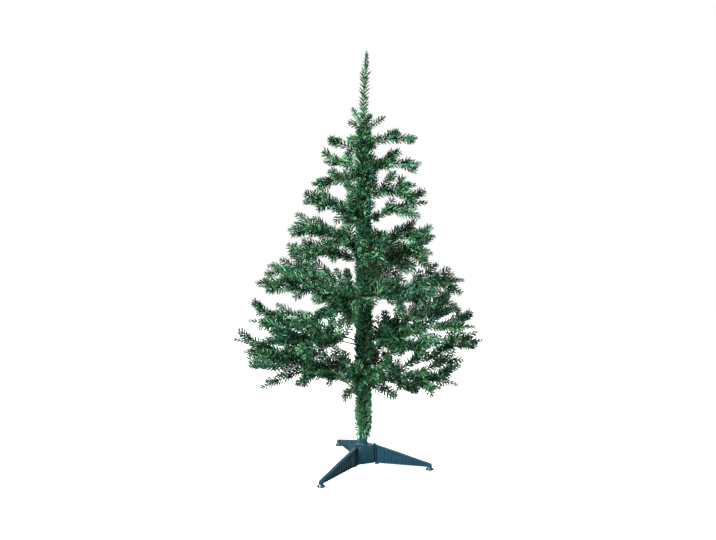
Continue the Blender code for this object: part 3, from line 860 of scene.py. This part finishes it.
def revolve(profile, sides, closed=False):
    """A profile of radius and height turned about Z. A closed profile makes a ring."""
    part = bmesh.new()
    rings = []
    for radius, height in profile:
        if radius == 0:
            rings.append([part.verts.new((0, 0, height))])
            continue
        spokes = [2 * math.pi * j / sides for j in range(sides)]
        rings.append([part.verts.new((radius * math.cos(a), radius * math.sin(a), height)) for a in spokes])
    last = len(rings) if closed else len(rings) - 1
    for k in range(last):
        first, second = rings[k], rings[(k + 1) % len(rings)]
        for j in range(sides if len(first) + len(second) > 2 else 0):
            n = (j + 1) % sides
            low = (first[j % len(first)], first[n % len(first)])
            high = (second[n % len(second)], second[j % len(second)])
            part.faces.new(list(dict.fromkeys(low + high)))
    bmesh.ops.recalc_face_normals(part, faces=part.faces)
    return part


def finish_part(name, bm, material, node):
    """A moulded piece from a bmesh, smooth but for its sharp corners."""
    mesh = bpy.data.meshes.new(name)
    bm.to_mesh(mesh)
    bm.free()
    mesh.materials.append(material)
    mesh.shade_smooth()
    mesh.set_sharp_from_angle(angle=math.radians(SHARP_ANGLE))
    thing = bpy.data.objects.new(name, mesh)
    bpy.context.scene.collection.objects.link(thing)
    settle(thing, [node])


def hub_outline(inset=0.0):
    """Six corners: a short side before each leg, and a long panel between two legs."""
    half = HUB_FACE_WIDTH / 2
    points = []
    for heading in LEG_HEADINGS:
        turn = math.radians(heading)
        for side in (-half, half):
            x = HUB_FACE * math.cos(turn) - side * math.sin(turn)
            y = HUB_FACE * math.sin(turn) + side * math.cos(turn)
            shrink = 1 - inset / HUB_FACE
            points.append((x * shrink, y * shrink))
    return points


def socket_profile():
    """The socket's floor and tube, with a fillet at the hub and a rolled collar, as a closed profile."""
    bore, floor = POLE_RADIUS + GAP, SOCKET_FLOOR + SOCKET_FLOOR_DEPTH
    profile = [(bore, floor), (0, floor), (0, SOCKET_FLOOR), (COLLAR_RADIUS, SOCKET_FLOOR)]
    profile.append((COLLAR_RADIUS, HUB_TOP - 0.0006))
    for k in range(5):
        turn = math.radians(90 * k / 4)
        radius = COLLAR_RADIUS + COLLAR_FILLET * (1 - math.sin(turn))
        profile.append((radius, HUB_TOP - 0.0005 + COLLAR_FILLET * (1 - math.cos(turn))))
    profile.append((COLLAR_RADIUS, COLLAR_TOP - 0.0045))
    for k in range(7):
        turn = math.radians(-90 + 180 * k / 6)
        radius = COLLAR_RADIUS + COLLAR_LIP * math.cos(turn)
        profile.append((radius, COLLAR_TOP - 0.002 + 0.0018 * math.sin(turn)))
    return profile + [(bore + 0.0004, COLLAR_TOP), (bore, COLLAR_TOP - 0.0004)]


def make_hub(material):
    """A hollow prism, open below, with fluted panels and a socket tube."""
    bm = bmesh.new()
    add_mesh(bm, frame_prism(hub_outline(), hub_outline(HUB_WALL), HUB_BOTTOM, HUB_TOP, 0.0007))
    add_mesh(bm, prism(hub_outline(HUB_WALL * 0.8), HUB_TOP - HUB_WALL, HUB_TOP - 0.0004, 0.0002))
    corners = hub_outline()
    low = (-FLUTE_HALF, -0.0006, HUB_BOTTOM + 0.003)
    high = (FLUTE_HALF, 0.0005, HUB_TOP - 0.003)
    for k in range(3):
        a, b = Vector(corners[2 * k + 1]), Vector(corners[(2 * k + 2) % 6])
        heading = (b - a).angle_signed(Vector((1, 0)))
        for j in range(PANEL_FLUTES):
            spot = a + (b - a) * (j + 0.5) / PANEL_FLUTES
            place = Matrix.Translation((spot.x, spot.y, 0)) @ Matrix.Rotation(heading, 4, "Z")
            add_mesh(bm, box(low, high, 0.0004), place)
    add_mesh(bm, revolve(socket_profile(), 40, closed=True))
    finish_part("hub", bm, material, "stand_hub")


def leg_outline(inset=0.0):
    """The side of a leg as distance and height: deep at the hub and low at the foot."""
    root = HUB_FACE + GAP + LEG_POST_DEPTH / 2
    tip = FOOT_CENTRE + FOOT_NECK_RADIUS
    return [
        (root + inset, HUB_BOTTOM + inset),
        (tip - inset, LEG_TIP_BOTTOM + inset),
        (tip - inset, LEG_TIP_TOP - inset),
        (root + inset, HUB_TOP - inset),
    ]


def leg_window():
    """The part of a leg's side between its rims, where only the web is left."""
    root, bottom = leg_outline(LEG_RIM)[0]
    low_tip, high_tip = leg_outline()[1:3]
    slope_top = (HUB_TOP - high_tip[1]) / (high_tip[0] - root + LEG_RIM)
    tip = FOOT_CENTRE - 2 * FOOT_NECK_RADIUS
    return [
        (root, bottom),
        (tip, low_tip[1] + LEG_RIM),
        (tip, high_tip[1] - LEG_RIM + slope_top * (high_tip[0] - tip)),
        (root, HUB_TOP - LEG_RIM),
    ]


def behind_slot(outline, inset):
    """An outline with the two corners at the hub moved back into the post's outer block."""
    root = HUB_FACE + GAP + POST_PLATE + POST_SLOT + inset
    return [(max(x, root), z) for x, z in outline]


def foot_profile():
    """A domed pin, a neck that flares into a cup, and a hollow underside."""
    profile = [(0, LEG_TIP_TOP + 0.0016)]
    for k in range(1, 5):
        turn = math.radians(90 * k / 4)
        profile.append((FOOT_TOP_RADIUS * math.sin(turn), LEG_TIP_TOP - 0.0014 + 0.003 * math.cos(turn)))
    flare_top = LEG_TIP_BOTTOM - 0.0005
    for k in range(6):
        t = k / 5
        radius = FOOT_TOP_RADIUS + (FOOT_RADIUS * 0.88 - FOOT_TOP_RADIUS) * t
        profile.append((radius, flare_top + (FOOT_FLANGE - 0.0004 - flare_top) * t))
    return profile + [
        (FOOT_RADIUS - 0.0004, FOOT_FLANGE - 0.0006),
        (FOOT_RADIUS, FOOT_FLANGE - 0.0010),
        (FOOT_RADIUS, 0.0004),
        (FOOT_RADIUS - 0.0004, 0),
        (FOOT_RADIUS - 0.0024, 0),
        (FOOT_RADIUS - 0.0030, 0.0012),
        (0, 0.0016),
    ]


def add_ribs(bm, window, start):
    """Upright ribs on both faces of a leg's web, from a distance out to the end of the window."""
    (root, root_bottom), (tip, tip_bottom), (_, tip_top), (_, root_top) = window
    half = RIB_WIDTH / 2
    for k in range(int((tip - start) / RIB_PITCH)):
        x = start + k * RIB_PITCH
        share = (x - root) / (tip - root)
        bottom = root_bottom + (tip_bottom - root_bottom) * share
        top = root_top + (tip_top - root_top) * share
        low = (x - half, -LEG_WEB / 2 - RIB_STAND, bottom - 0.0004)
        add_mesh(bm, box(low, (x + half, LEG_WEB / 2 + RIB_STAND, top + 0.0004), MOULDED_EDGE))


def make_leg(number, heading, material):
    """A ribbed web with a rim round each face, a post at the hub, a clip below and a foot."""
    bm = bmesh.new()
    stand_up = Matrix.Rotation(math.radians(90), 4, "X")
    half, post = LEG_WIDTH / 2, HUB_FACE_WIDTH / 2
    window = leg_window()
    web = behind_slot(leg_outline(LEG_RIM / 2), 0.0006)
    add_mesh(bm, prism(web, -LEG_WEB / 2, LEG_WEB / 2), stand_up)
    outer, inner = behind_slot(leg_outline(), 0.0006), behind_slot(window, 0.0018)
    add_mesh(bm, frame_prism(outer, inner, -half, half, MOULDED_EDGE), stand_up)

    # The post: a plate on the hub, a slot crossed by a thin web, and a block that carries the leg.
    start = HUB_FACE + GAP
    end = start + LEG_POST_DEPTH
    slot_start, slot_end = start + POST_PLATE, start + POST_PLATE + POST_SLOT
    low = (start, -post, LEG_POST_BOTTOM)
    add_mesh(bm, box(low, (slot_start, post, LEG_POST_TOP), 0.0004))
    low = (slot_end, -half, LEG_POST_BOTTOM + 0.001)
    add_mesh(bm, box(low, (end, half, HUB_TOP), MOULDED_EDGE))
    low = (slot_start - 0.0005, -POST_WEB / 2, LEG_POST_BOTTOM + 0.002)
    add_mesh(bm, box(low, (slot_end + 0.0005, POST_WEB / 2, LEG_POST_TOP - 0.003)))
    low = (start + LEG_POST_DEPTH / 2, -post / 2, CLIP_BOTTOM)
    add_mesh(bm, box(low, (CLIP_REACH, post / 2, HUB_BOTTOM + 0.002), MOULDED_EDGE))

    add_ribs(bm, window, end + FIRST_RIB * RIB_PITCH)
    add_mesh(bm, revolve(foot_profile(), 36), Matrix.Translation((FOOT_CENTRE, 0, 0)))
    bm.transform(Matrix.Rotation(math.radians(heading), 4, "Z"))
    finish_part(f"leg_{number}", bm, material, f"stand_leg_{number}")


# Materials

def shader_material(name, roughness, metallic=0.0):
    material = bpy.data.materials.new(name)
    material.use_nodes = True
    shader = material.node_tree.nodes["Principled BSDF"]
    shader.inputs["Roughness"].default_value = roughness
    shader.inputs["Metallic"].default_value = metallic
    return material, material.node_tree, shader


def noise(tree, scale, detail=3.0):
    """Noise in the object's own coordinates."""
    place = tree.nodes.new("ShaderNodeTexCoord")
    texture = tree.nodes.new("ShaderNodeTexNoise")
    texture.inputs["Scale"].default_value = scale
    texture.inputs["Detail"].default_value = detail
    tree.links.new(place.outputs["Object"], texture.inputs["Vector"])
    return texture


def colour_range(tree, shader, texture, dark, light):
    """Base colour between two colours by a texture."""
    ramp = tree.nodes.new("ShaderNodeValToRGB")
    ramp.color_ramp.elements[0].position = 0.32
    ramp.color_ramp.elements[1].position = 0.68
    ramp.color_ramp.elements[0].color = (*dark, 1)
    ramp.color_ramp.elements[1].color = (*light, 1)
    tree.links.new(texture.outputs["Fac"], ramp.inputs["Fac"])
    tree.links.new(ramp.outputs["Color"], shader.inputs["Base Color"])


def roughness_range(tree, shader, texture, low, high):
    """Roughness between two values by a texture."""
    span = tree.nodes.new("ShaderNodeMapRange")
    span.inputs["To Min"].default_value = low
    span.inputs["To Max"].default_value = high
    tree.links.new(texture.outputs["Fac"], span.inputs["Value"])
    tree.links.new(span.outputs["Result"], shader.inputs["Roughness"])


def relief(tree, shader, texture, strength, distance):
    """A fine grain that only bends the normals."""
    bump = tree.nodes.new("ShaderNodeBump")
    bump.inputs["Strength"].default_value = strength
    bump.inputs["Distance"].default_value = distance
    tree.links.new(texture.outputs["Fac"], bump.inputs["Height"])
    tree.links.new(bump.outputs["Normal"], shader.inputs["Normal"])


def needle_materials():
    """Glossy cut film in several greens, each a little uneven."""
    materials = []
    for name, colour in NEEDLE_COLOURS.items():
        material, tree, shader = shader_material(f"needles {name}", 0.40)
        shader.inputs["Specular IOR Level"].default_value = 0.18
        texture = noise(tree, 60.0)
        dark = tuple((1 - UNEVENNESS) * channel for channel in colour)
        light = tuple((1 + UNEVENNESS) * channel for channel in colour)
        colour_range(tree, shader, texture, dark, light)
        roughness_range(tree, shader, texture, 0.34, 0.50)
        materials.append(material)
    return materials


def wire_material():
    """Painted wire, dark and half metallic."""
    material, tree, shader = shader_material("twisted wire", 0.5, 0.35)
    texture = noise(tree, 220.0)
    colour_range(tree, shader, texture, *WIRE_COLOURS)
    roughness_range(tree, shader, texture, 0.40, 0.62)
    return material


def pole_material():
    """The strip wound on the pole, a dull dark green."""
    material, tree, shader = shader_material("wound strip", 0.5)
    texture = noise(tree, 150.0)
    colour_range(tree, shader, texture, *STRIP_COLOURS)
    roughness_range(tree, shader, texture, 0.42, 0.60)
    return material


def plastic_material():
    """Moulded plastic: fine grain, faint flow marks and a soft gloss."""
    material, tree, shader = shader_material("stand plastic", 0.30)
    shader.inputs["Specular IOR Level"].default_value = 0.35
    flow = noise(tree, 14.0)
    colour_range(tree, shader, flow, *PLASTIC_COLOURS)
    grain = noise(tree, 1400.0, 2.0)
    relief(tree, shader, grain, 0.12, 0.0003)
    roughness_range(tree, shader, flow, 0.18, 0.28)
    return material


# Stage

def make_stage():
    """A pale floor, a white surround and soft studio lights."""
    bpy.ops.mesh.primitive_plane_add(size=FLOOR_SIZE)
    floor = bpy.context.object
    floor.name = "floor"
    material, _, shader = shader_material("floor", 0.9)
    shader.inputs["Base Color"].default_value = (FLOOR_GREY, FLOOR_GREY, FLOOR_GREY, 1)
    shader.inputs["Specular IOR Level"].default_value = 0
    shader.inputs["Emission Color"].default_value = (1, 1, 1, 1)
    shader.inputs["Emission Strength"].default_value = FLOOR_GLOW
    floor.data.materials.append(material)
    floor.visible_diffuse = False
    floor.visible_glossy = False
    floor.visible_shadow = False
    make_world()
    add_light("key", KEY_PLACE, KEY_SIZE, KEY_POWER)
    add_light("fill", FILL_PLACE, FILL_SIZE, FILL_POWER)
    bpy.context.scene.view_settings.view_transform = "Standard"


def make_world():
    """A surround that shows as plain white and lights the object softly, most from above and behind."""
    world = bpy.data.worlds.new("studio")
    world.use_nodes = True
    tree = world.node_tree
    shown = tree.nodes["Background"]
    shown.inputs["Color"].default_value = (1, 1, 1, 1)
    shown.inputs["Strength"].default_value = 1.0
    place = tree.nodes.new("ShaderNodeTexCoord")
    facing = tree.nodes.new("ShaderNodeVectorMath")
    facing.operation = "DOT_PRODUCT"
    facing.inputs[1].default_value = SKY_DIRECTION
    strength = tree.nodes.new("ShaderNodeMapRange")
    strength.inputs["From Min"].default_value = -1.0
    strength.inputs["To Min"].default_value = SKY_STRENGTHS[0]
    strength.inputs["To Max"].default_value = SKY_STRENGTHS[1]
    lighting = tree.nodes.new("ShaderNodeBackground")
    lighting.inputs["Color"].default_value = (1, 1, 1, 1)
    rays = tree.nodes.new("ShaderNodeLightPath")
    mix = tree.nodes.new("ShaderNodeMixShader")
    tree.links.new(place.outputs["Generated"], facing.inputs[0])
    tree.links.new(facing.outputs["Value"], strength.inputs["Value"])
    tree.links.new(strength.outputs["Result"], lighting.inputs["Strength"])
    tree.links.new(rays.outputs["Is Camera Ray"], mix.inputs["Fac"])
    tree.links.new(lighting.outputs["Background"], mix.inputs[1])
    tree.links.new(shown.outputs["Background"], mix.inputs[2])
    tree.links.new(mix.outputs["Shader"], tree.nodes["World Output"].inputs["Surface"])
    bpy.context.scene.world = world


def add_light(name, place, size, power):
    """A square soft light that looks at the crown."""
    light = bpy.data.lights.new(name, "AREA")
    light.size = size
    light.energy = power
    lamp = bpy.data.objects.new(name, light)
    lamp.location = place
    lamp.rotation_euler = (Vector(LIGHT_AIM) - Vector(place)).to_track_quat("-Z", "Y").to_euler()
    bpy.context.scene.collection.objects.link(lamp)


def make_camera():
    """The camera at the photograph's viewing angle."""
    camera = bpy.data.cameras.new("camera")
    camera.lens = CAMERA_LENS
    camera.shift_x = CAMERA_SHIFT
    viewer = bpy.data.objects.new("camera", camera)
    viewer.location = CAMERA_PLACE
    viewer.rotation_euler = (math.radians(90 - CAMERA_PITCH), 0, 0)
    bpy.context.scene.collection.objects.link(viewer)
    bpy.context.scene.camera = viewer


def main():
    make_camera()
    make_stage()
    greens = needle_materials()
    wire = wire_material()
    plastic = plastic_material()
    make_hub(plastic)
    for number, heading in enumerate(LEG_HEADINGS, start=1):
        make_leg(number, heading, plastic)
    make_pole(pole_material())
    make_pole_garland(greens)
    stems, twigs = plan_boughs()
    make_limbs(stems, wire)
    all_sprays = leader_sprays()
    make_needles("leader", [("foliage_leader", all_sprays)], greens)
    for tier in TIERS:
        groups = []
        for bough in tier.boughs:
            name = f"{tier.name}_{bough.side}"
            sprays = bough_sprays(tier, bough, stems[name], twigs[name])
            groups.append((f"foliage_{name}", sprays))
            all_sprays = all_sprays + sprays
        make_needles(tier.name, groups, greens)
    make_twig_wires(all_sprays, wire)


main()
